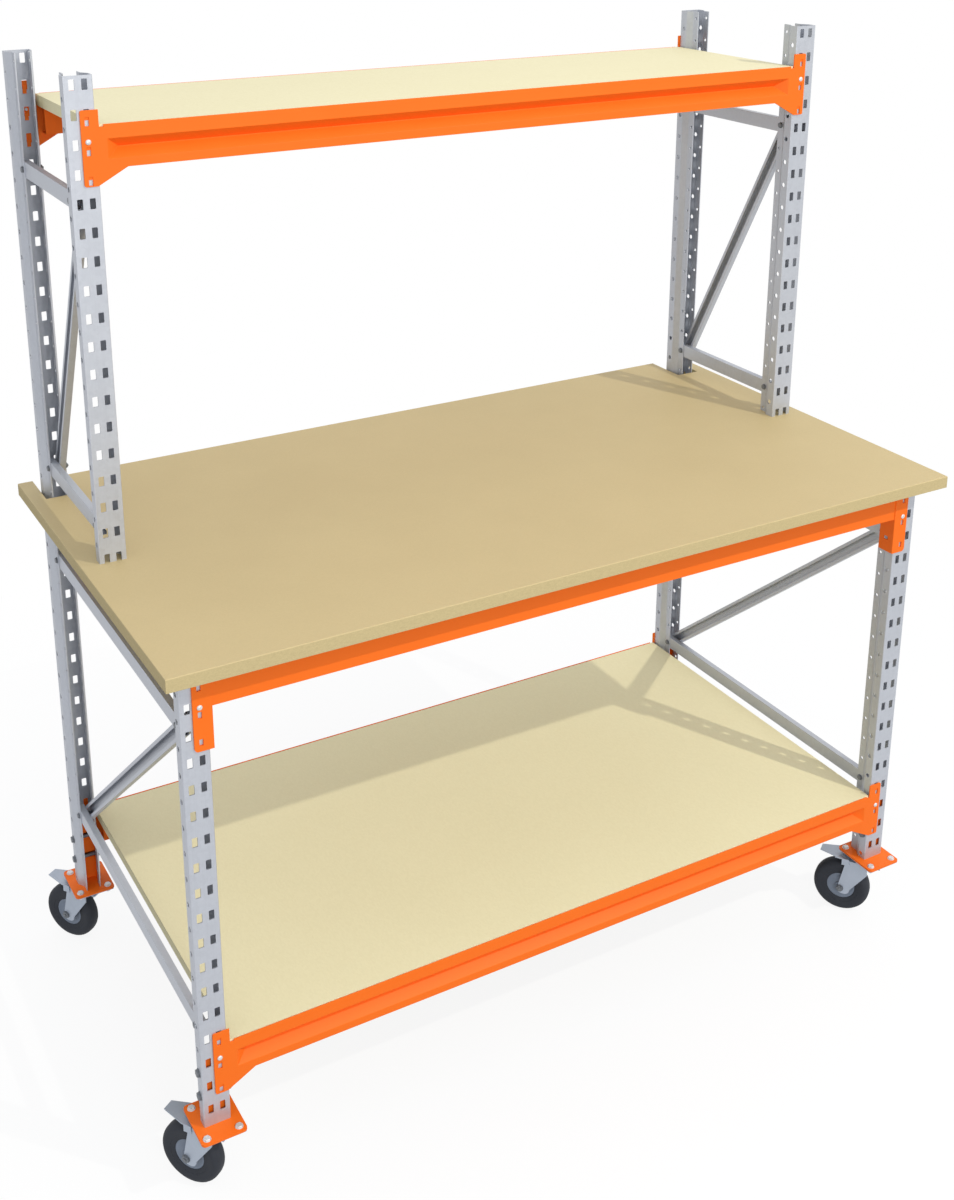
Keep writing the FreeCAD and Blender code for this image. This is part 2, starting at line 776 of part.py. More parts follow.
# Caster plates: a square-holed plate with the ball race and the kingpin that holds the fork.
caster_plate = new_body("caster_plate")
outline = rectangle(
    "caster_plate_inset - foot_plate_width/2",
    "caster_plate_inset - foot_plate_length/2",
    "foot_plate_width/2 - caster_plate_inset",
    "foot_plate_length/2 - caster_plate_inset",
)
holes = [square(x, y, plate_bolt_hole) for x, y in plate_bolts]
pad(caster_plate, sketch(caster_plate, "XY_Plane", [outline] + holes), "caster_plate_sheet", reverse=True)
race_under = "(caster_plate_sheet + race_height)"
crown_top = f"({race_under} + swivel_gap)"
crown_under = f"({crown_top} + fork_sheet)"
pin_head_top = f"({crown_under} + swivel_gap)"
race = [
    ("0", "-caster_plate_sheet/2"),
    ("race_radius", "-caster_plate_sheet/2"),
    ("race_radius", f"-{race_under}"),
    ("kingpin_radius", f"-{race_under}"),
    ("kingpin_radius", f"-{pin_head_top}"),
    ("kingpin_head_radius", f"-{pin_head_top}"),
    ("kingpin_head_radius", f"-{pin_head_top} - kingpin_head"),
    ("0", f"-{pin_head_top} - kingpin_head"),
]
revolve(caster_plate, sketch(caster_plate, "XZ_Plane", [race]), "Z_Axis")
group("caster_top_plates", [(caster_plate, [at(p.x, p.y, p.z) for p in casters.values()])])

# Forks: one bent steel piece, a crown with two legs that lean back to the axle.
axle_level = "(wheel_diameter/2 - caster_height)"
fork = new_body("fork_front_left")
fork_outer = "(fork_inner + 2*fork_sheet)"
side_view = [
    ("-fork_front", f"-{crown_top}"),
    ("-fork_front", f"-{crown_under}"),
    ("-fork_neck", f"-{crown_under}"),
    ("-fork_neck", f"-{crown_top} - fork_front_drop"),
    ("caster_trail - fork_end_front", axle_level),
    ("caster_trail - fork_end_front", f"{axle_level} - fork_end_drop"),
    ("caster_trail + fork_end_back", f"{axle_level} - fork_end_drop"),
    ("caster_trail + fork_end_back", axle_level),
    ("fork_back", f"-{crown_top} - fork_back_drop"),
    ("fork_back", f"-{crown_top}"),
]
pad(fork, sketch(fork, "XZ_Plane", [side_view]), fork_outer, both=True)
round_edges(fork, "fork_end_radius", along_y, lambda p: near(p.z, f"{axle_level} - fork_end_drop"))
between = rectangle(
    "-fork_front - fork_sheet",
    f"{axle_level} - 2*fork_end_drop",
    "caster_trail + 2*fork_end_back",
    f"-{crown_under}",
)
gap = fork.newObject("PartDesign::Pocket", "gap")
gap.Profile = sketch(fork, "XZ_Plane", [between])
gap.setExpression("Length", bound("fork_inner"))
gap.SideType = "Symmetric"
doc.recompute()
leg_holes = [
    square("caster_trail", axle_level, "axle_square + 2*bolt_clearance"),
    ("pedal_pin_reach", "-pedal_pin_drop", "pedal_pin_radius + running_clearance"),
]
cut_through(fork, sketch(fork, "XZ_Plane", leg_holes))
king_hole = fork.newObject("PartDesign::Pocket", "king_hole")
king_hole.Profile = sketch(fork, "XY_Plane", [("0", "0", "kingpin_radius + running_clearance")])
king_hole.setExpression("Length", bound(f"{crown_under} + fork_sheet"))
doc.recompute()

# Wheels: a core with a plain bearing, and a tyre pressed onto it.
core = new_body("wheel_core_front_left")
hub_half = "(fork_inner/2 - hub_end_gap)"
half_core = [
    ("axle_radius + running_clearance", hub_half),
    ("hub_radius", hub_half),
    ("tyre_bore_radius", "core_edge/2"),
]
core_loop = half_core + [(r, f"-({y})") for r, y in reversed(half_core)]
revolve(core, sketch(core, "XY_Plane", [core_loop]), "Y_Axis")
tyre = new_body("tyre_front_left")
half_tyre = [
    ("tyre_bore_radius + tyre_seat", "core_edge/2"),
    ("wheel_diameter/2 - tyre_shoulder", "tyre_width/2"),
    ("wheel_diameter/2", "tyre_tread/2"),
]
tyre_loop = half_tyre + [(r, f"-({y})") for r, y in reversed(half_tyre)]
revolve(tyre, sketch(tyre, "XY_Plane", [tyre_loop]), "Y_Axis")


# Axles: round between the legs, square in them, with a head and a nut outside.
def prism(flats, height):
    made = doc.addObject("Part::Prism", "hexagon")
    made.Polygon = 6
    made.setExpression("Circumradius", bound(f"{flats}/sqrt(3)"))
    made.setExpression("Height", bound(height))
    return made


def square_bar(side, length):
    made = doc.addObject("Part::Box", "bar")
    made.setExpression("Length", bound(side))
    made.setExpression("Width", bound(side))
    made.setExpression("Height", bound(length))
    made.setExpression("Placement.Base.x", bound(f"-{side}/2"))
    made.setExpression("Placement.Base.y", bound(f"-{side}/2"))
    return made


def joined(label, shapes):
    made = doc.addObject("Part::MultiFuse", label)
    made.Shapes = shapes
    doc.recompute()
    return made


def fastener(label, side, flats, head, grip, nut):
    """A square-shanked bolt along +Z from under its head, with its nut run down."""
    cap = prism(flats, head)
    cap.setExpression("Placement.Base.z", bound(f"-{head}"))
    end = prism(flats, nut)
    end.setExpression("Placement.Base.z", bound(grip))
    return joined(label, [cap, square_bar(side, f"{grip} + {nut}"), end])


journal = doc.addObject("Part::Cylinder", "journal")
journal.setExpression("Radius", bound("axle_radius"))
journal.setExpression("Height", bound(f"2*{hub_half}"))
journal.setExpression("Placement.Base.z", bound("fork_sheet + hub_end_gap"))
axle_bolt = fastener("axle_bolt", "axle_square", "axle_head_flats", "axle_head", fork_outer, "axle_head")
axle = joined("axle_front_left", [axle_bolt, journal])

# Brake pedals: a stamped lever with two cheeks outside the fork, a pin through its legs and a
# shoe over the tyre.
pedal = new_body("brake_pedal_front_left")
pedal_half = f"({fork_outer}/2 + pedal_gap + pedal_sheet)"
lever = [
    ("pedal_root", f"-{pedal_half}"),
    ("pedal_shoulder", f"-{pedal_half}"),
    ("pedal_tip", "-pedal_tip_width/2"),
    ("pedal_tip", "pedal_tip_width/2"),
    ("pedal_shoulder", pedal_half),
    ("pedal_root", pedal_half),
]
pad(pedal, sketch(pedal, "XY_Plane", [lever], "-pedal_drop"), "pedal_sheet", reverse=True)
cheek = rectangle(
    "pedal_root", f"{pedal_half} - pedal_sheet", "pedal_root + pedal_cheek_run", pedal_half
)
pad(
    pedal,
    sketch(pedal, "XY_Plane", [cheek, [(x, f"-({y})") for x, y in reversed(cheek)]], "-pedal_drop"),
    "pedal_sheet + pedal_cheek",
    reverse=True,
)
shoe = rectangle("shoe_start", "-shoe_width/2", "shoe_end", "shoe_width/2")
pad(pedal, sketch(pedal, "XY_Plane", [shoe], "-pedal_drop"), "pedal_sheet + shoe_drop", reverse=True)
pivot = ("pedal_pin_reach", "-pedal_pin_drop", "pedal_pin_radius")
pad(pedal, sketch(pedal, "XZ_Plane", [pivot]), f"2*{pedal_half}", both=True)

# The four casters: the same pieces turned to the same trail.
turned = Rotation(Vector(0, 0, 1), value("caster_turn"))
wheel_centre = Vector(value("caster_trail"), 0, value(axle_level))
axle_start = wheel_centre + Vector(0, value(f"-{fork_outer}/2"), 0)
across = Placement(axle_start, Rotation(Vector(1, 0, 0), -90))
for corner, top in casters.items():
    base = Placement(top, turned)
    makes = {
        "fork": (fork, Placement()),
        "axle": (axle, across),
        "wheel_core": (core, Placement(wheel_centre, Rotation())),
        "tyre": (tyre, Placement(wheel_centre, Rotation())),
        "brake_pedal": (pedal, Placement()),
    }
    for make, (source, inside) in makes.items():
        label = f"{make}_{corner}"
        if label == source.Label:
            keep(label, source, base.multiply(inside))
        else:
            repeat(label, source, base.multiply(inside))

# Fasteners: the frame bolts run from left to right through the lips, the plate bolts run down.
frame_bolt = fastener(
    "frame_bolt", "bolt_side", "bolt_flats", "bolt_head", "(upright_throat + 2*upright_sheet)", "bolt_nut"
)
to_right = Rotation(Vector(0, 1, 0), 90)
lip_face = value("upright_throat/2 + upright_sheet")
strip_face = value("upright_width/2")
frame_places = [Placement(Vector(x - lip_face, y, z), to_right) for x, y, z in bolt_places]
foot_places = [Placement(Vector(x - strip_face, y, z), to_right) for x, y, z in foot_bolt_places]
foot_bolt = fastener(
    "foot_bolt", "foot_bolt_side", "foot_bolt_flats", "foot_bolt_head", "upright_width", "foot_bolt_nut"
)
group("frame_bolts", [(frame_bolt, frame_places), (foot_bolt, foot_places)])
plate_bolt = fastener(
    "plate_bolt",
    "plate_bolt_side",
    "plate_bolt_flats",
    "plate_bolt_head",
    "(foot_plate_sheet + caster_plate_sheet)",
    "plate_bolt_nut",
)
plate_places = []
for top in casters.values():
    for x, y in plate_bolts:
        spot = top + Vector(value(x), value(y), value("foot_plate_sheet"))
        plate_places.append(Placement(spot, Rotation(Vector(1, 0, 0), 180)))
group("caster_plate_bolts", [(plate_bolt, plate_places)])

# Lock pins: one through each connector into a slot, so that the hooks cannot lift out.
pin_length = "(connector_sheet + upright_sheet + pin_reach)"
pin_cap = prism("2*pin_head_radius", "pin_head")
pin_cap.setExpression("Placement.Base.z", bound("-pin_head"))
lock_pin = joined("lock_pin", [pin_cap, square_bar("2*pin_radius", pin_length)])
pin_places = []
pinned = [
    (front_web, 0, lower_beam_top + value(shelf_pin)),
    (rear_web, 180, lower_beam_top + value(shelf_pin)),
    (upper_front_web, 0, upper_beam_top + value(shelf_pin)),
    (rear_web, 180, upper_beam_top + value(shelf_pin)),
    (front_web, 0, worktop_beam_top + value(worktop_pin)),
    (rear_web, 180, worktop_beam_top + value(worktop_pin)),
]
for web, turn, z in pinned:
    for sx in (-1, 1):
        outside = Placement(
            Vector(sx * value(hook_x), value("-connector_sheet"), 0), Rotation(Vector(1, 0, 0), -90)
        )
        pin_places.append(at(centre_x, web, z, turn).multiply(outside))
group("beam_lock_pins", [(lock_pin, pin_places)])

# Every object must have come out sound before any file is written.
doc.recompute()
for made in doc.Objects:
    if "Invalid" in made.State or "Error" in made.State:
        raise RuntimeError(f"{made.Label} did not recompute")
shapes = {label: Part.getShape(made) for label, made in pieces.items()}
for label, shape in shapes.items():
    if shape.isNull() or not shape.isValid():
        raise RuntimeError(f"{label} has no valid shape")
os.makedirs("parts", exist_ok=True)
for label, shape in shapes.items():
    shape.exportStep(f"parts/{label}.step")
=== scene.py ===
import json
from math import cos, pi, radians, sin

import bmesh
import bpy
from mathutils import Euler, Matrix, Vector


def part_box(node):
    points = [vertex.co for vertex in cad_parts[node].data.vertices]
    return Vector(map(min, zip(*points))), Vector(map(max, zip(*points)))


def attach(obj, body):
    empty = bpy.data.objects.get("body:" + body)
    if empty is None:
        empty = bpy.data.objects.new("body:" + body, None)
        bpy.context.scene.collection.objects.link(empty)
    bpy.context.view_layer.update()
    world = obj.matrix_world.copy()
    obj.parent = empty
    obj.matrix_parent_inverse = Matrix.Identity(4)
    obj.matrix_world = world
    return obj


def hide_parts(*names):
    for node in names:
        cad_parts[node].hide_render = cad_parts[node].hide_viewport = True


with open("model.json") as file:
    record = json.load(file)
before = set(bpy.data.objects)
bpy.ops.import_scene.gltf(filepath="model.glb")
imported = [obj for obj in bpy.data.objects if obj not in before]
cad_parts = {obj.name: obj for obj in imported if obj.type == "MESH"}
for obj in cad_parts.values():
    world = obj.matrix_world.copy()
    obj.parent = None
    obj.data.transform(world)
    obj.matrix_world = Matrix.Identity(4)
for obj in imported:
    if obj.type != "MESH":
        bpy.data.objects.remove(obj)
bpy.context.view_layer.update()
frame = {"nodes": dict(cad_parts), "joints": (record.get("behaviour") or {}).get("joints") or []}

# Uprights: roll-formed from one galvanised strip, with a wide front, a jog and a narrow throat.
# Two columns of hook slots are punched in the web before bending, and both flanges carry round
# holes: small ones near the lip at slot height and larger ones near the web between the slots.


class Wired:
    """A value that a node gives, so that finishes and repeats read as sums and calls."""

    def __init__(self, tree, socket):
        self.tree = tree
        self.socket = socket

    def node(self, kind, settings, sockets, output=0):
        """A new node in the same tree: its settings come first, then its values and links."""
        made = self.tree.nodes.new(kind)
        for name, setting in settings.items():
            setattr(made, name, setting)
        for name, value in sockets.items():
            if isinstance(value, Wired):
                self.tree.links.new(value.socket, made.inputs[name])
            else:
                made.inputs[name].default_value = value
        return Wired(self.tree, made.outputs[output])

    def sum(self, operation, first, second):
        return self.node("ShaderNodeMath", {"operation": operation}, {0: first, 1: second})

    def __add__(self, other):
        return self.sum("ADD", self, other)

    def __radd__(self, other):
        return self.sum("ADD", other, self)

    def __mul__(self, other):
        return self.sum("MULTIPLY", self, other)

    def __rmul__(self, other):
        return self.sum("MULTIPLY", other, self)

    def under(self, limit):
        return self.sum("LESS_THAN", self, limit)

    def most(self, other):
        return self.sum("MAXIMUM", self, other)

    def between(self, first, second):
        """A colour mixed from two by this value."""
        first_colour, second_colour, mixed_colour = 6, 7, 2
        sockets = {"Factor": self}
        for place, colour in ((first_colour, first), (second_colour, second)):
            sockets[place] = (*colour, 1) if isinstance(colour, tuple) else colour
        return self.node("ShaderNodeMix", {"data_type": "RGBA"}, sockets, mixed_colour)

    def grain(self, scale, detail, stretch=(1, 1, 1)):
        """Cloudy variation about 0.5, stretched along the way that the piece was worked."""
        spread = self.node("ShaderNodeMapping", {}, {"Vector": self, "Scale": stretch})
        sockets = {"Vector": spread, "Scale": scale, "Detail": detail, "Roughness": 0.55}
        return self.node("ShaderNodeTexNoise", {}, sockets)

    def cells(self, scale, stretch=(1, 1, 1)):
        """One chance value for each crystal, chip or fleck."""
        spread = self.node("ShaderNodeMapping", {}, {"Vector": self, "Scale": stretch})
        chance = self.node("ShaderNodeTexVoronoi", {}, {"Vector": spread, "Scale": scale}, "Color")
        return self.node("ShaderNodeSeparateColor", {}, {"Color": chance})

    def bump(self, strength, distance):
        sockets = {"Strength": strength, "Distance": distance, "Height": self}
        return self.node("ShaderNodeBump", {}, sockets)


def finish_named(name, metallic=0.0, specular=0.5, coat=0.0, coat_rough=0.1):
    """A material, its shader and the place on the piece that its patterns read."""
    made = bpy.data.materials.new(name)
    made.use_nodes = True
    tree = made.node_tree
    shader = next(node for node in tree.nodes if node.type == "BSDF_PRINCIPLED")
    shader.inputs["Metallic"].default_value = metallic
    shader.inputs["Specular IOR Level"].default_value = specular
    shader.inputs["Coat Weight"].default_value = coat
    shader.inputs["Coat Roughness"].default_value = coat_rough
    place = tree.nodes.new("ShaderNodeTexCoord")
    return made, shader, Wired(tree, place.outputs["Object"])


def wear(shader, **values):
    """Links the values that change over a surface to the shader."""
    for name, value in values.items():
        value.tree.links.new(value.socket, shader.inputs[name.replace("_", " ").title()])


def tint(*screen):
    """A colour as a screen shows it, turned into the light that it sends back."""
    return tuple(c / 12.92 if c <= 0.04045 else ((c + 0.055) / 1.055) ** 2.4 for c in screen)


galvanised, shader, place = finish_named("galvanised_steel", metallic=0.55, specular=0.5)
crystals = place.cells(scale=160)
rolled = place.grain(scale=1, detail=3, stretch=(420, 420, 6))
clouds = place.grain(scale=7, detail=2)
zinc_tone = crystals * 0.22 + rolled * 0.38 + clouds * 0.4
wear(
    shader,
    base_color=zinc_tone.between(tint(0.695, 0.71, 0.74), tint(0.785, 0.80, 0.83)),
    roughness=0.38 + crystals * 0.06 + rolled * 0.1,
    normal=(rolled * 0.6 + crystals * 0.4).bump(strength=0.08, distance=0.0004),
)

SHEET = 0.002
WEB_HALF, THROAT_HALF = 0.025, 0.0155
JOG_START, JOG_END, DEPTH = 0.021, 0.035, 0.052
BEND_WIDTH, BEND_STEPS, BEND_ANGLE = 0.0024, 4, radians(20)
half_section = [(WEB_HALF, 0.0), (WEB_HALF, JOG_START), (THROAT_HALF, JOG_END), (THROAT_HALF, DEPTH)]
section = [(-x, y) for x, y in reversed(half_section)] + half_section

SLOT_PITCH = 0.050
FIRST_SLOT = 0.1915
SLOT_FROM_MIDDLE = 0.01084
SLOT_HALF_WIDE, SLOT_HALF_HIGH, SLOT_CORNER = 0.005, 0.00925, 0.0014
LIP_HOLE_INSET, LIP_HOLE_RADIUS = 0.044, 0.0034
STRIP_HOLE_INSET, STRIP_HOLE_RADIUS = 0.013, 0.005
HOLE_SIDES = 16
CELL_FOOT = -0.015
CELL_TOP = CELL_FOOT + SLOT_PITCH


def round_hole(s, z, radius):
    turns = [2 * pi * k / HOLE_SIDES for k in range(HOLE_SIDES)]
    return [(s + radius * cos(a), z + radius * sin(a)) for a in turns]


def hook_slot(s, z):
    """A rectangle with rounded corners, three points to a corner."""
    outline = []
    for quarter, (sx, sz) in enumerate(((1, 1), (-1, 1), (-1, -1), (1, -1))):
        corner_s = s + sx * (SLOT_HALF_WIDE - SLOT_CORNER)
        corner_z = z + sz * (SLOT_HALF_HIGH - SLOT_CORNER)
        for k in range(3):
            a = pi / 2 * quarter + pi / 4 * k
            outline.append((corner_s + SLOT_CORNER * cos(a), corner_z + SLOT_CORNER * sin(a)))
    return outline


def same(first, second):
    return abs(first - second) < 1e-6


def punched_cell():
    """One slot pitch of the bent strip, as a sheet without thickness."""
    built = bmesh.new()
    for (x0, y0), (x1, y1) in zip(section, section[1:]):
        run = Vector((x1 - x0, y1 - y0)).length
        along = Vector(((x1 - x0) / run, (y1 - y0) / run))
        middle = run / 2

        def vertex(s, z):
            return built.verts.new((x0 + along.x * s, y0 + along.y * s, z))

        if same(y0, 0) and same(y1, 0):
            pierced = [
                (0, middle, hook_slot(middle - SLOT_FROM_MIDDLE, 0)),
                (middle, run, hook_slot(middle + SLOT_FROM_MIDDLE, 0)),
            ]
        elif same(abs(x0), THROAT_HALF) and same(x0, x1):
            lip_hole = round_hole(abs(LIP_HOLE_INSET - y0), 0, LIP_HOLE_RADIUS)
            pierced = [(0, run, lip_hole)]
        elif same(abs(x0), WEB_HALF) and same(x0, x1):
            strip_hole = round_hole(abs(STRIP_HOLE_INSET - y0), SLOT_PITCH / 2, STRIP_HOLE_RADIUS)
            pierced = [(0, run, strip_hole)]
        else:
            pierced = [(0, run, None)]
        for low, high, outline in pierced:
            corners = [(low, CELL_FOOT), (high, CELL_FOOT), (high, CELL_TOP), (low, CELL_TOP)]
            rim = [vertex(s, z) for s, z in corners]
            if outline is None:
                built.faces.new(rim)
                continue
            ring = [vertex(s, z) for s, z in outline]
            nearest = []
            for s, z in corners:
                gaps = [(hole_s - s) ** 2 + (hole_z - z) ** 2 for hole_s, hole_z in outline]
                nearest.append(gaps.index(min(gaps)))
            for k in range(4):
                start, end = nearest[k], nearest[(k + 1) % 4]
                back = [ring[(end - j) % len(ring)] for j in range((end - start) % len(ring) + 1)]
                built.faces.new([rim[k], rim[(k + 1) % 4]] + back)
    bmesh.ops.remove_doubles(built, verts=built.verts, dist=1e-6)
    mesh = bpy.data.meshes.new("punched_cell")
    built.to_mesh(mesh)
    built.free()
    return mesh


def tree_with(name, sockets):
    """A node tree with named inputs, the identifier of each input and the value that it gives."""
    tree = bpy.data.node_groups.new(name, "GeometryNodeTree")
    tree.interface.new_socket("Geometry", in_out="INPUT", socket_type="NodeSocketGeometry")
    known = {}
    for label, kind in sockets.items():
        made = tree.interface.new_socket(label, in_out="INPUT", socket_type=kind)
        known[label] = made.identifier
    tree.interface.new_socket("Geometry", in_out="OUTPUT", socket_type="NodeSocketGeometry")
    start = tree.nodes.new("NodeGroupInput")
    given = {label: Wired(tree, start.outputs[label]) for label in ("Geometry", *sockets)}
    return tree, known, given


def painted_copies(points, settings, material, weld=None):
    """Ends a tree: copies at points are made real, joined where asked and given a material."""
    copies = points.node("GeometryNodeInstanceOnPoints", {}, {"Points": points, **settings})
    made = copies.node("GeometryNodeRealizeInstances", {}, {"Geometry": copies})
    if weld:
        made = made.node("GeometryNodeMergeByDistance", {}, {"Geometry": made, "Distance": weld})
    made = made.node("GeometryNodeSetMaterial", {}, {"Geometry": made, "Material": material})
    result = made.tree.nodes.new("NodeGroupOutput")
    made.tree.links.new(made.socket, result.inputs["Geometry"])


def plain_mesh(piece):
    """The mesh that a piece's modifiers give, after which the modifiers are gone."""
    bpy.context.view_layer.update()
    evaluated = piece.evaluated_get(bpy.context.evaluated_depsgraph_get())
    mesh = bpy.data.meshes.new_from_object(evaluated)
    piece.modifiers.clear()
    return mesh


def placed(name, mesh, material, body, slot, *nodes):
    """A finished piece that rides on a body and stands for its CAD nodes."""
    mesh.materials.clear()
    mesh.materials.append(material)
    piece = bpy.data.objects.new(name, mesh)
    bpy.context.scene.collection.objects.link(piece)
    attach(piece, body)
    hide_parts(*nodes)


def temporary(name, mesh):
    """An object that is worked on and removed again."""
    piece = bpy.data.objects.new(name, mesh)
    bpy.context.scene.collection.objects.link(piece)
    return piece


cell = temporary("upright_cell", punched_cell())
column_tree, column_inputs, given = tree_with(
    "punched_column",
    {
        "Cell": "NodeSocketObject",
        "Rows": "NodeSocketInt",
        "Pitch": "NodeSocketFloat",
        "First row": "NodeSocketFloat",
        "Steel": "NodeSocketMaterial",
    },
)
start = given["First row"].node("ShaderNodeCombineXYZ", {}, {"Z": given["First row"]})
step = given["Pitch"].node("ShaderNodeCombineXYZ", {}, {"Z": given["Pitch"]})
sockets = {"Count": given["Rows"], "Start Location": start, "Offset": step}
line = step.node("GeometryNodeMeshLine", {}, sockets)
taken = line.node("GeometryNodeObjectInfo", {}, {"Object": given["Cell"]}, "Geometry")
painted_copies(line, {"Instance": taken}, given["Steel"], weld=1e-5)


def upright(node, rows, first_row):
    """A column of punched cells cut to the node's height, bent and given its thickness."""
    low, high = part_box(node)
    blank = temporary(node + "_strip", bpy.data.meshes.new(node + "_strip"))
    column = blank.modifiers.new("column", "NODES")
    column.node_group = column_tree
    column[column_inputs["Cell"]] = cell
    column[column_inputs["Rows"]] = rows
    column[column_inputs["Pitch"]] = SLOT_PITCH
    column[column_inputs["First row"]] = first_row
    column[column_inputs["Steel"]] = galvanised
    strip = plain_mesh(blank)
    built = bmesh.new()
    built.from_mesh(strip)
    for level, up in ((low.z, -1), (high.z, 1)):
        bmesh.ops.bisect_plane(
            built,
            geom=built.verts[:] + built.edges[:] + built.faces[:],
            plane_co=(0, 0, level),
            plane_no=(0, 0, up),
            clear_outer=True,
        )
    bmesh.ops.recalc_face_normals(built, faces=built.faces)
    web = next(face for face in built.faces if abs(face.normal.y) > 0.9)
    if web.normal.y > 0:
        bmesh.ops.reverse_faces(built, faces=built.faces)
    rear = "rear" in node
    turn = Matrix.Rotation(pi if rear else 0, 4, "Z")
    web_face = high.y if rear else low.y
    stand = Matrix.Translation(((low.x + high.x) / 2, web_face, 0))
    bmesh.ops.transform(built, matrix=stand @ turn, verts=built.verts)
    built.to_mesh(strip)
    built.free()
    blank.data = strip
    bends = blank.modifiers.new("bends", "BEVEL")
    bends.limit_method = "ANGLE"
    bends.angle_limit = BEND_ANGLE
    bends.width = BEND_WIDTH
    bends.segments = BEND_STEPS
    wall = blank.modifiers.new("wall", "SOLIDIFY")
    wall.thickness = SHEET
    wall.offset = -1
    mesh = plain_mesh(blank)
    mesh.shade_flat()
    bpy.data.objects.remove(blank)
    placed(node + "_sheet", mesh, galvanised, "frame", "galvanised_steel", node)


SIDES = ("left", "right")
TALL_ROWS, SHORT_ROWS = 38, 20
SLOTS_BELOW_UPPER_FRAME = 17
LOWEST_ROW = FIRST_SLOT - SLOT_PITCH
UPPER_ROW = FIRST_SLOT + SLOTS_BELOW_UPPER_FRAME * SLOT_PITCH
for side in SIDES:
    upright(f"rear_upright_{side}", TALL_ROWS, LOWEST_ROW)
    upright(f"lower_front_upright_{side}", SHORT_ROWS, LOWEST_ROW)
    upright(f"upper_front_upright_{side}", SHORT_ROWS, UPPER_ROW)
bpy.data.objects.remove(cell)

# Braces: lipped galvanised channels bolted in the throat of the uprights, two rails and a
# diagonal in each end frame. Each is roll-formed, so that its long edges are bends.
CHANNEL_EDGE = 0.0007
FLAT_WITHIN, EDGE_FROM, CREASE_FROM = 0.01, radians(30), radians(40)


def eased(node, width, segments=2):
    """A copy of a CAD node with its flat faces made whole and its edges rounded."""
    mesh = frame["nodes"][node].data.copy()
    built = bmesh.new()
    built.from_mesh(mesh)
    bmesh.ops.remove_doubles(built, verts=built.verts, dist=2e-6)
    bmesh.ops.dissolve_limit(built, angle_limit=FLAT_WITHIN, verts=built.verts, edges=built.edges)
    built.to_mesh(mesh)
    built.free()
    piece = temporary(node + "_eased", mesh)
    rounding = piece.modifiers.new("rounding", "BEVEL")
    rounding.limit_method = "ANGLE"
    rounding.angle_limit = EDGE_FROM
    rounding.width = width
    rounding.segments = segments
    rounding.use_clamp_overlap = True
    flat = piece.modifiers.new("flat", "WEIGHTED_NORMAL")
    flat.keep_sharp = True
    mesh.shade_smooth()
    done = plain_mesh(piece)
    done.set_sharp_from_angle(angle=CREASE_FROM)
    bpy.data.objects.remove(piece)
    return done


for tier in ("lower", "upper"):
    for side in SIDES:
        for part in ("top_rail", "bottom_rail", "diagonal"):
            node = f"{tier}_{side}_{part}"
            mesh = eased(node, CHANNEL_EDGE)
            placed(node + "_channel", mesh, galvanised, "frame", "galvanised_steel", node)

# Shelf and worktop beams: cold-formed steel, welded to their connectors and then powder coated
# in one orange coat. The coat has the slight orange peel of a sprayed and baked powder.
BEAM_EDGE = 0.0008
BEAMS = ("lower_shelf_beam", "upper_shelf_beam", "worktop_beam")
orange, shader, place = finish_named("orange_paint", specular=0.25, coat=0.03, coat_rough=0.35)
peel = place.grain(scale=620, detail=2)
sprayed = place.grain(scale=9, detail=3)
coat_tone = sprayed * 0.8 + peel * 0.2
wear(
    shader,
    base_color=coat_tone.between(tint(0.985, 0.44, 0.09), tint(0.995, 0.47, 0.115)),
    roughness=0.44 + peel * 0.12 + sprayed * 0.08,
    normal=peel.bump(strength=0.12, distance=0.0003),
)
for beam in BEAMS:
    for row in ("front", "rear"):
        node = f"{beam}_{row}"
        placed(node + "_coated", eased(node, BEAM_EDGE), orange, "frame", "orange_paint", node)

# Worktop: one thick fibreboard slab with a hard tan face, sawn and left with plain edges.
# Notches at the back let the rear uprights pass.
WORKTOP_EDGE, FACE_SKIN = 0.0008, 0.0012
low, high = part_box("worktop")
worktop_board, shader, place = finish_named("worktop_board", specular=0.35)
fibres = place.grain(scale=210, detail=4)
flecks = place.cells(scale=520)
mottle = place.grain(scale=5, detail=3)
layers = place.grain(scale=90, detail=3, stretch=(1, 1, 6))
height = place.node("ShaderNodeSeparateXYZ", {}, {"Vector": place}, "Z")
sawn = height.under(high.z - FACE_SKIN)
face_mix = mottle * 0.6 + fibres * 0.3 + flecks * 0.2
face_tone = face_mix.between(tint(0.77, 0.69, 0.505), tint(0.83, 0.75, 0.56))
edge_mix = layers * 0.8 + flecks * 0.3
edge_tone = edge_mix.between(tint(0.72, 0.655, 0.48), tint(0.82, 0.745, 0.555))
wear(
    shader,
    base_color=sawn.between(face_tone, edge_tone),
    roughness=0.5 + fibres * 0.14 + sawn * 0.2,
    normal=(fibres * 0.5 + flecks * 0.25 + sawn * flecks).bump(strength=0.1, distance=0.0003),
)
mesh = eased("worktop", WORKTOP_EDGE)
placed("worktop_slab", mesh, worktop_board, "frame", "worktop_board", "worktop")

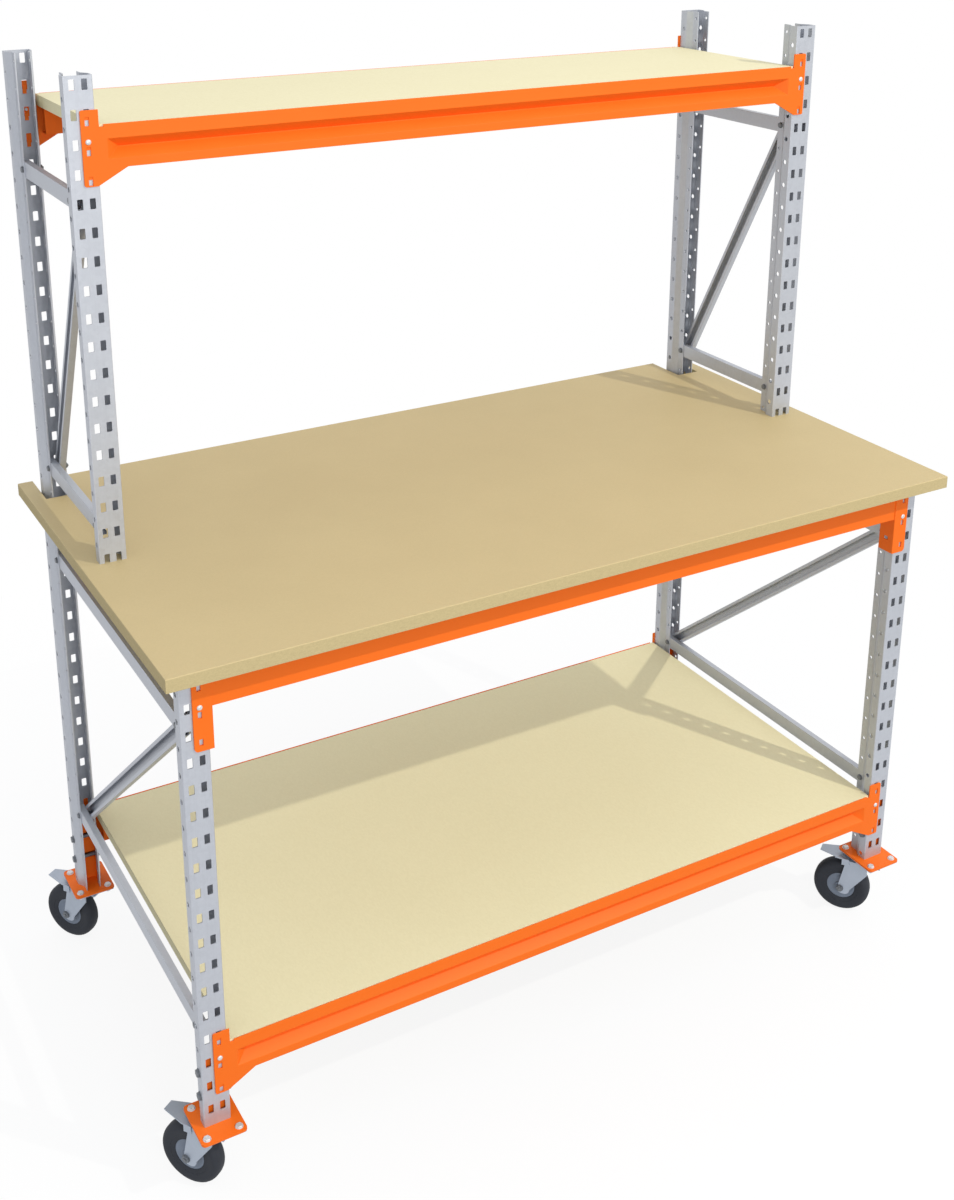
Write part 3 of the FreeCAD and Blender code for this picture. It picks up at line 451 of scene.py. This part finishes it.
# Shelf boards: pale particle board, pressed from fine chips, lying loose on the beam steps.
# Chips, dust and pressing marks give the sanded faces and the cut edges a faint speckle.
SHELF_EDGE = 0.0007
shelf_board, shader, place = finish_named("shelf_board", specular=0.3)
chips = place.cells(scale=330, stretch=(1, 0.45, 1))
dust = place.grain(scale=420, detail=3)
pressing = place.grain(scale=4, detail=3)
chip_tone = chips * 0.3 + dust * 0.3 + pressing * 0.4
wear(
    shader,
    base_color=chip_tone.between(tint(0.925, 0.885, 0.715), tint(0.965, 0.93, 0.77)),
    roughness=0.58 + dust * 0.16,
    normal=(chips * 0.4 + dust * 0.6).bump(strength=0.1, distance=0.0003),
)
for node in ("lower_shelf", "upper_shelf"):
    placed(node + "_panel", eased(node, SHELF_EDGE), shelf_board, "frame", "shelf_board", node)

# Caster feet: a drilled plate with a welded channel that stands inside the upright and is
# bolted across it. They are powder coated in the same orange as the beams.
FOOT_EDGE = 0.0006
CORNERS = ("front_left", "front_right", "rear_left", "rear_right")
for corner in CORNERS:
    node = f"caster_foot_{corner}"
    placed(node + "_coated", eased(node, FOOT_EDGE), orange, "frame", "orange_paint", node)

# Casters: pressed plates, forks and brake levers, zinc plated to a dull blue grey. The fork
# turns under its plate on a ball race, and the lever swings a shoe down to the tyre.
PLATE_EDGE, FORK_EDGE, LEVER_EDGE = 0.0005, 0.0009, 0.0006
caster_steel, shader, place = finish_named("caster_steel", metallic=0.5, specular=0.5)
plating = place.grain(scale=260, detail=3)
drawn = place.grain(scale=30, detail=2)
plate_tone = plating * 0.4 + drawn * 0.6
wear(
    shader,
    base_color=plate_tone.between(tint(0.64, 0.675, 0.725), tint(0.74, 0.775, 0.825)),
    roughness=0.36 + plating * 0.16,
    normal=plating.bump(strength=0.08, distance=0.0003),
)
mesh = eased("caster_top_plates", PLATE_EDGE)
placed("caster_race_plates", mesh, caster_steel, "frame", "caster_steel", "caster_top_plates")
for corner in CORNERS:
    node = f"fork_{corner}"
    mesh = eased(node, FORK_EDGE, segments=3)
    placed(node + "_pressing", mesh, caster_steel, node, "caster_steel", node)
    node = f"brake_pedal_{corner}"
    mesh = eased(node, LEVER_EDGE)
    placed(node + "_lever", mesh, caster_steel, f"pedal_{corner}", "caster_steel", node)

# Wheels: a black rubber tyre pressed onto a grey moulded core, which turns on a bolt through
# the fork. The tyre has a rounded shoulder, and the core a stepped dish and a raised hub.
rubber, shader, place = finish_named("black_rubber", specular=0.35)
scuff = place.grain(scale=180, detail=4)
moulded = place.grain(scale=900, detail=2)
wear(
    shader,
    base_color=scuff.between(tint(0.14, 0.15, 0.175), tint(0.205, 0.22, 0.25)),
    roughness=0.58 + scuff * 0.2,
    normal=(moulded * 0.5 + scuff * 0.5).bump(strength=0.12, distance=0.0003),
)
core_grey, shader, place = finish_named("wheel_core_grey", specular=0.45)
pellets = place.grain(scale=700, detail=2)
flow = place.grain(scale=40, detail=2)
wear(
    shader,
    base_color=flow.between(tint(0.445, 0.485, 0.545), tint(0.51, 0.55, 0.61)),
    roughness=0.42 + pellets * 0.14,
    normal=pellets.bump(strength=0.08, distance=0.0003),
)
WHEEL_STEPS, WHEEL_CREASE = 72, radians(38)


def turned(name, profile, across, centre):
    """A ring turned from a closed outline of radius and width about a wheel's axle."""
    built = bmesh.new()
    out = Vector((0, 0, 1))
    side = across.cross(out)
    rings = []
    for k in range(WHEEL_STEPS):
        a = 2 * pi * k / WHEEL_STEPS
        spoke = out * cos(a) + side * sin(a)
        rings.append([built.verts.new(centre + spoke * r + across * w) for r, w in profile])
    count = len(profile)
    for k in range(WHEEL_STEPS):
        here, there = rings[k], rings[(k + 1) % WHEEL_STEPS]
        for j in range(count):
            built.faces.new((here[j], there[j], there[(j + 1) % count], here[(j + 1) % count]))
    bmesh.ops.recalc_face_normals(built, faces=built.faces)
    mesh = bpy.data.meshes.new(name)
    built.to_mesh(mesh)
    built.free()
    mesh.shade_smooth()
    mesh.set_sharp_from_angle(angle=WHEEL_CREASE)
    return mesh


def axle_way(corner):
    joint = next(j for j in frame["joints"] if j["name"] == f"wheel_{corner}")
    return Vector(joint["axis"]).normalized()


def middle_of(node):
    low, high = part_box(node)
    return (low + high) / 2


# Each outline gives the radius and half width, from the bore outwards.
half_tyre = [
    (0.0311, 0.0128),
    (0.0325, 0.0138),
    (0.0400, 0.0146),
    (0.0405, 0.0152),
    (0.0460, 0.0160),
    (0.0510, 0.0166),
    (0.0545, 0.0160),
    (0.0575, 0.0142),
    (0.0600, 0.0116),
    (0.0616, 0.0086),
    (0.0624, 0.0050),
    (0.0625, 0.0),
]
half_core = [
    (0.0051, 0.0193),
    (0.0112, 0.0193),
    (0.0120, 0.0186),
    (0.0124, 0.0150),
    (0.0150, 0.0138),
    (0.0255, 0.0122),
    (0.0268, 0.0128),
    (0.0300, 0.0129),
    (0.0310, 0.0124),
]
tyre_outline = half_tyre + [(r, -w) for r, w in reversed(half_tyre[:-1])]
core_outline = half_core + [(r, -w) for r, w in reversed(half_core)]
for corner in CORNERS:
    across = axle_way(corner)
    tyre, core, body = f"tyre_{corner}", f"wheel_core_{corner}", f"wheel_{corner}"
    centre = middle_of(tyre)
    mesh = turned(tyre + "_ring", tyre_outline, across, centre)
    placed(tyre + "_ring", mesh, rubber, body, "black_rubber", tyre)
    mesh = turned(core + "_hub", core_outline, across, centre)
    placed(core + "_hub", mesh, core_grey, body, "wheel_core_grey", core)

# Frame bolts: hexagon bolts with washers and nuts, zinc plated. Their zinc is a darker copy
# of the bright zinc, painted shade for heads and nuts that face away from the key light. They
# run from left to right and clamp the braces in the throats and the caster feet in the uprights.


def plated(name, dark, bright):
    """Zinc plate with the faint cloud of its passivated skin."""
    made, shader, place = finish_named(name, metallic=0.4, specular=0.35)
    passivated = place.grain(scale=300, detail=2)
    wear(
        shader,
        base_color=passivated.between(dark, bright),
        roughness=0.36 + passivated * 0.14,
        normal=passivated.bump(strength=0.05, distance=0.0002),
    )
    return made


# The darker zinc copy is painted shade: bolt heads and nuts that face away from the key light.
painted_shade_zinc = plated("painted_shade_zinc", tint(0.40, 0.415, 0.435), tint(0.53, 0.545, 0.565))
BOLT_CREASE = radians(25)


def stacked(name, layers):
    """A turned or hexagonal piece from layers of sides, radius and height along +Z."""
    built = bmesh.new()
    for sides, rings in layers:
        turns = [2 * pi * k / sides for k in range(sides)]
        loops = []
        for radius, z in rings:
            loops.append([built.verts.new((radius * cos(a), radius * sin(a), z)) for a in turns])
        for here, there in zip(loops, loops[1:]):
            for k in range(sides):
                built.faces.new((here[k], here[(k + 1) % sides], there[(k + 1) % sides], there[k]))
        built.faces.new(list(reversed(loops[0])))
        built.faces.new(loops[-1])
    bmesh.ops.recalc_face_normals(built, faces=built.faces)
    mesh = bpy.data.meshes.new(name)
    built.to_mesh(mesh)
    built.free()
    mesh.shade_smooth()
    mesh.set_sharp_from_angle(angle=BOLT_CREASE)
    return mesh


FLATS_TO_CORNER = 1.732
WASHER_SIDES, HEX_SIDES, SHANK_SIDES = 20, 6, 12
THREAD_RUN, THREAD_END, THREAD_TAPER, HEX_BEVEL = 0.0015, 0.0022, 0.0008, 0.0006


def bolt_mesh(name, shank, flats, head, grip, nut, washer):
    """A bolt along +Z from under its head, with washers, nut and a short thread end."""
    point = flats / FLATS_TO_CORNER
    disc, crown = point * 1.12, point * 0.88
    core, end = shank / 2, grip + nut
    thread = [(core, end), (core, end + THREAD_RUN), (core - THREAD_TAPER, end + THREAD_END)]
    return stacked(
        name,
        [
            (WASHER_SIDES, [(disc, -washer), (disc, 0.0)]),
            (HEX_SIDES, [(crown, -head), (point, -head + HEX_BEVEL), (point, -washer)]),
            (WASHER_SIDES, [(disc, grip), (disc, grip + washer)]),
            (HEX_SIDES, [(point, grip + washer), (point, end - HEX_BEVEL), (crown, end)]),
            (SHANK_SIDES, thread),
            (SHANK_SIDES, [(core, -washer), (core, grip + washer)]),
        ],
    )


fastener_tree, fastener_inputs, given = tree_with(
    "fastener_rows",
    {"Fastener": "NodeSocketObject", "Turn": "NodeSocketVector", "Zinc": "NodeSocketMaterial"},
)
points = given["Geometry"]
taken = points.node("GeometryNodeObjectInfo", {}, {"Object": given["Fastener"]}, "Geometry")
turning = points.node("FunctionNodeEulerToRotation", {}, {"Euler": given["Turn"]})
painted_copies(points, {"Instance": taken, "Rotation": turning}, given["Zinc"])


def fastened(name, fastener, places, turn, plate):
    """The same fastener at each place, as one plain mesh."""
    model = temporary(name + "_one", fastener)
    spots = bpy.data.meshes.new(name + "_places")
    spots.from_pydata(places, [], [])
    row = temporary(name + "_row", spots)
    rows = row.modifiers.new("rows", "NODES")
    rows.node_group = fastener_tree
    rows[fastener_inputs["Fastener"]] = model
    rows[fastener_inputs["Turn"]] = turn
    rows[fastener_inputs["Zinc"]] = plate
    mesh = plain_mesh(row)
    bpy.data.objects.remove(row)
    bpy.data.objects.remove(model)
    return mesh


def gathered(name, meshes):
    """Several plain meshes as one."""
    built = bmesh.new()
    for mesh in meshes:
        built.from_mesh(mesh)
    whole = bpy.data.meshes.new(name)
    built.to_mesh(whole)
    built.free()
    whole.shade_smooth()
    whole.set_sharp_from_angle(angle=BOLT_CREASE)
    return whole


def rows_of(slots, x, *ways):
    """Places across the bench at each of these slots."""
    return [(x, y, FIRST_SLOT + slot * SLOT_PITCH) for slot in slots for y in ways]


LOWER_BRACE_SLOTS, UPPER_BRACE_SLOTS, FOOT_SLOTS = (3, 15), (19, 31), (0.5, 1.5)
FOOT_BOLT_SHIFT = LIP_HOLE_INSET - STRIP_HOLE_INSET
brace_places, foot_places = [], []
for side in SIDES:
    low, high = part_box(f"lower_front_upright_{side}")
    lip = (low.x + high.x) / 2 - THROAT_HALF
    front = low.y + LIP_HOLE_INSET
    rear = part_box(f"rear_upright_{side}")[1].y - LIP_HOLE_INSET
    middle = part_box(f"upper_front_upright_{side}")[0].y + LIP_HOLE_INSET
    brace_places += rows_of(LOWER_BRACE_SLOTS, lip, front, rear)
    brace_places += rows_of(UPPER_BRACE_SLOTS, lip, middle, rear)
    foot_places += rows_of(FOOT_SLOTS, low.x, front - FOOT_BOLT_SHIFT, rear + FOOT_BOLT_SHIFT)
brace_bolt = bolt_mesh(
    "brace_bolt", shank=0.006, flats=0.010, head=0.004, grip=0.031, nut=0.005, washer=0.0009
)
foot_bolt = bolt_mesh(
    "foot_bolt", shank=0.008, flats=0.013, head=0.005, grip=0.050, nut=0.006, washer=0.0009
)
across_x = (0, pi / 2, 0)
bolt_rows = [
    fastened("brace_bolts", brace_bolt, brace_places, across_x, painted_shade_zinc),
    fastened("foot_bolts", foot_bolt, foot_places, across_x, painted_shade_zinc),
]
mesh = gathered("frame_bolt_set", bolt_rows)
placed("frame_bolt_set", mesh, painted_shade_zinc, "frame", "zinc_fasteners", "frame_bolts")

# Caster bolts: four bright plated bolts go down through each foot and hold the caster under it.
# A bolt through the fork carries each wheel, in the darker zinc copy that is painted shade.
bright_zinc = plated("bright_zinc", tint(0.79, 0.80, 0.81), tint(0.92, 0.925, 0.925))
PLATE_BOLT_X, PLATE_BOLT_Y, FOOT_PLATE_TOP = 0.030, 0.040, 0.1565
AXLE_GRIP = 0.046
plate_places = []
for corner in CORNERS:
    middle = middle_of(f"caster_foot_{corner}")
    for dx in (-PLATE_BOLT_X, PLATE_BOLT_X):
        for dy in (-PLATE_BOLT_Y, PLATE_BOLT_Y):
            plate_places.append((middle.x + dx, middle.y + dy, FOOT_PLATE_TOP))
plate_bolt = bolt_mesh(
    "plate_bolt", shank=0.008, flats=0.0115, head=0.004, grip=0.0075, nut=0.005, washer=0.0006
)
mesh = fastened("plate_bolts", plate_bolt, plate_places, (pi, 0, 0), bright_zinc)
placed("caster_plate_bolt_set", mesh, bright_zinc, "frame", "zinc_fasteners", "caster_plate_bolts")

for corner in CORNERS:
    across = axle_way(corner)
    axle = f"axle_{corner}"
    stem = bolt_mesh(
        axle + "_bolt", shank=0.0072, flats=0.013, head=0.005, grip=AXLE_GRIP, nut=0.005, washer=0.0012
    )
    lean = Vector((0, 0, 1)).rotation_difference(across).to_matrix().to_4x4()
    stem.transform(Matrix.Translation(middle_of(axle) - across * (AXLE_GRIP / 2)) @ lean)
    placed(axle + "_bolt", stem, painted_shade_zinc, f"fork_{corner}", "zinc_fasteners", axle)

# Lock pins: domed pins, turned and bright plated. One goes through each beam connector and
# keeps its hooks from lifting out of the slots.
PIN_SIDES = 16
PIN_FROM_MIDDLE = 0.76886
PIN_LEVELS = dict(zip(BEAMS, (0.296, 1.846, 0.9907)))
pin = stacked(
    "lock_pin",
    [
        (PIN_SIDES, [(0.0048, -0.0008), (0.0048, 0.0)]),
        (PIN_SIDES, [(0.0024, 0.0), (0.0024, 0.009)]),
        (PIN_SIDES, [(0.0014, -0.0025), (0.0032, -0.0021), (0.0044, -0.0013), (0.0048, -0.0008)]),
    ],
)
pin_sets = []
for beam in BEAMS:
    for row, turn in (("front", -pi / 2), ("rear", pi / 2)):
        low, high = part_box(f"{beam}_{row}")
        middle = (low.x + high.x) / 2
        face = low.y if row == "front" else high.y
        places = [(middle + s * PIN_FROM_MIDDLE, face, PIN_LEVELS[beam]) for s in (-1, 1)]
        name = f"lock_pins_{beam}_{row}"
        pin_sets.append(fastened(name, pin.copy(), places, (turn, 0, 0), bright_zinc))
mesh = gathered("lock_pin_set", pin_sets)
placed("lock_pin_set", mesh, bright_zinc, "frame", "zinc_fasteners", "beam_lock_pins")

# Studio: a pale floor under a white surround that lights slightly cool, a small and slightly
# warm key light high in front and to the right, and a broad weak fill in front. The camera
# looks at the bench as the photograph does.
FLOOR_REACH, FLOOR_GREY, FLOOR_ROUGH = 40, (0.30, 0.30, 0.30), 0.9
SHADOW_NEAR, SHADOW_FAR, WHITE_NEAR, WHITE_FAR = 0.6, 2.2, 0.86, 1.0
WHITE = (1, 1, 1)


def white_rays(tree):
    """One for the rays that show the white surround: seen, mirrored or through glass."""
    rays = tree.nodes.new("ShaderNodeLightPath").outputs
    seen = Wired(tree, rays["Is Camera Ray"])
    mirrored = Wired(tree, rays["Is Glossy Ray"])
    return seen.most(mirrored).most(Wired(tree, rays["Is Transmission Ray"]))


def shown(kind, factor, lit, white):
    """Makes a mix of the lit and the white shader what the floor or the world shows."""
    tree = factor.tree
    mixed = factor.node("ShaderNodeMixShader", {}, {"Fac": factor, 1: lit, 2: white})
    output = next(node for node in tree.nodes if node.type == kind)
    tree.links.new(mixed.socket, output.inputs["Surface"])


floor_mesh = bpy.data.meshes.new("studio_floor")
floor_corners = [(FLOOR_REACH * x, FLOOR_REACH * y, 0) for x, y in ((-1, -1), (1, -1), (1, 1), (-1, 1))]
floor_mesh.from_pydata(floor_corners, [], [(0, 1, 2, 3)])
floor = bpy.data.objects.new("studio_floor", floor_mesh)
bpy.context.scene.collection.objects.link(floor)
paper, matt, place = finish_named("studio_paper", specular=0.1)
matt.inputs["Roughness"].default_value = FLOOR_ROUGH
seen = white_rays(paper.node_tree)
wear(matt, base_color=seen.between(FLOOR_GREY, WHITE))
reach = place.node("ShaderNodeVectorMath", {"operation": "LENGTH"}, {0: place}, "Value")
fade = reach.node(
    "ShaderNodeMapRange",
    {},
    {
        "Value": reach,
        "From Min": SHADOW_NEAR,
        "From Max": SHADOW_FAR,
        "To Min": WHITE_NEAR,
        "To Max": WHITE_FAR,
    },
)
glow = seen.node("ShaderNodeEmission", {}, {"Color": (*WHITE, 1)})
shown("OUTPUT_MATERIAL", seen * fade, Wired(paper.node_tree, matt.outputs[0]), glow)
floor_mesh.materials.append(paper)

world = bpy.data.worlds.new("studio_surround")
bpy.context.scene.world = world
world.use_nodes = True
lit = next(node for node in world.node_tree.nodes if node.type == "BACKGROUND")
lit.inputs["Color"].default_value = (0.965, 1.0, 1.07, 1)
lit.inputs["Strength"].default_value = 0.79
seen = white_rays(world.node_tree)
white = seen.node("ShaderNodeBackground", {}, {"Color": (*WHITE, 1), "Strength": 1.0})
shown("OUTPUT_WORLD", seen, Wired(world.node_tree, lit.outputs[0]), white)


def lamp(name, energy, colour, size, place, target):
    data = bpy.data.lights.new(name, "AREA")
    data.energy = energy
    data.color = colour
    data.shape = "DISK"
    data.size = size
    made = bpy.data.objects.new(name, data)
    made.location = place
    made.rotation_euler = (Vector(target) - Vector(place)).to_track_quat("-Z", "Y").to_euler()
    bpy.context.scene.collection.objects.link(made)


lamp(
    "key_light",
    energy=142,
    colour=(1.0, 0.965, 0.87),
    size=0.08,
    place=(2.4, -4.05, 5.03),
    target=(0, 0, 0.9),
)
lamp("fill_light", energy=76, colour=WHITE, size=3.0, place=(-1.2, -5.0, 2.4), target=(0, 0, 0.8))

lens = bpy.data.cameras.new("photo_camera")
lens.sensor_width = 36
lens.sensor_fit = "AUTO"
lens.lens = 46.323
lens.shift_x = 0.014
lens.shift_y = -0.21
camera = bpy.data.objects.new("photo_camera", lens)
camera.location = (-1.47263, -2.53771, 2.30102)
camera.rotation_euler = Euler((radians(72.265), 0, radians(-29.418)))
bpy.context.scene.collection.objects.link(camera)
bpy.context.scene.camera = camera
bpy.context.scene.view_settings.view_transform = "Standard"
